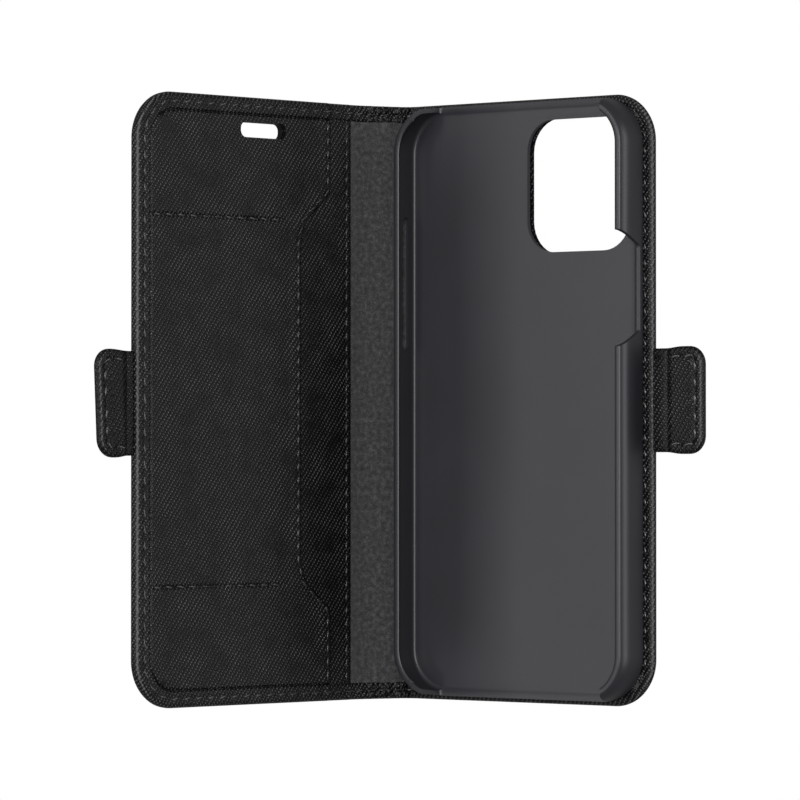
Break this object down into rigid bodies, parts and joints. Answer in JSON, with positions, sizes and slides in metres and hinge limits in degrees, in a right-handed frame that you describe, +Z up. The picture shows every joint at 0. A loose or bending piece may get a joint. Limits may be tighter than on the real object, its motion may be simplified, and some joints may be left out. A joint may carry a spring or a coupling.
{
  "type": "phone wallet case",
  "caption": "Black grained-leather folio wallet for a phone: hinged cover with a card pocket, spine, back cover with a moulded phone tray, and folding magnetic closing tabs.",
  "frame": {"origin": "middle of the whole case's base, on the surface that it stands on", "axes": "+Z up along the spine; +X along the back cover, away from the spine; the back cover's inside, with the phone tray, faces -Y"},
  "size_m": [0.1118, 0.1024, 0.153],
  "materials": {
    "outer_leather": "cross-hatched grain, semi-matt",
    "inner_leather": "cross-hatched grain, semi-matt",
    "suede_lining": "brushed microfibre",
    "thread": "twisted polyester, slight sheen",
    "tray_plastic": "fine satin moulded",
    "cover_board": "grey board",
    "adhesive_tape": "foam tape",
    "magnet_steel": "nickel-plated"
  },
  "bodies": {
    "back_cover": {"back_outer_leather": "outer_leather", "back_board": "cover_board", "back_lining": "suede_lining", "tray_tape": "adhesive_tape", "phone_tray": "tray_plastic", "back_perimeter_stitching": "thread", "back_tab_root": "outer_leather"},
    "spine": {"spine_outer_leather": "outer_leather", "spine_board": "cover_board", "spine_lining": "suede_lining", "spine_edge_stitching": "thread"},
    "front_cover": {"front_outer_leather": "outer_leather", "front_board": "cover_board", "front_inner_panel": "inner_leather", "front_lining_margin": "suede_lining", "card_pocket": "inner_leather", "front_perimeter_stitching": "thread", "pocket_edge_stitching": "thread", "card_stop_stitching": "thread", "inner_panel_stitching": "thread", "front_tab_root": "outer_leather"},
    "front_tab": {"front_tab_outer_leather": "outer_leather", "front_tab_inner_leather": "inner_leather", "front_tab_magnet": "magnet_steel", "front_tab_stitching": "thread"},
    "back_tab": {"back_tab_outer_leather": "outer_leather", "back_tab_inner_leather": "inner_leather", "back_tab_magnet": "magnet_steel", "back_tab_stitching": "thread"}
  },
  "joints": [
    {"name": "back_fold", "type": "hinge", "parent": "back_cover", "child": "spine", "pos_m": [-0.03776, 0.05077, 0], "axis": [0, 0, 1], "range_deg": [-151.8, 28.2]},
    {"name": "cover_fold", "type": "hinge", "parent": "spine", "child": "front_cover", "pos_m": [-0.04485, 0.03755, 0], "axis": [0, 0, 1], "range_deg": [-111.1, 68.9]},
    {"name": "front_tab_fold", "type": "hinge", "parent": "front_cover", "child": "front_tab", "pos_m": [-0.05377, -0.04095, 0], "axis": [0, 0, 1], "range_deg": [-30, 90]},
    {"name": "back_tab_fold", "type": "hinge", "parent": "back_cover", "child": "back_tab", "pos_m": [0.04464, 0.04992, 0], "axis": [0, 0, -1], "range_deg": [-30, 90]}
  ]
}
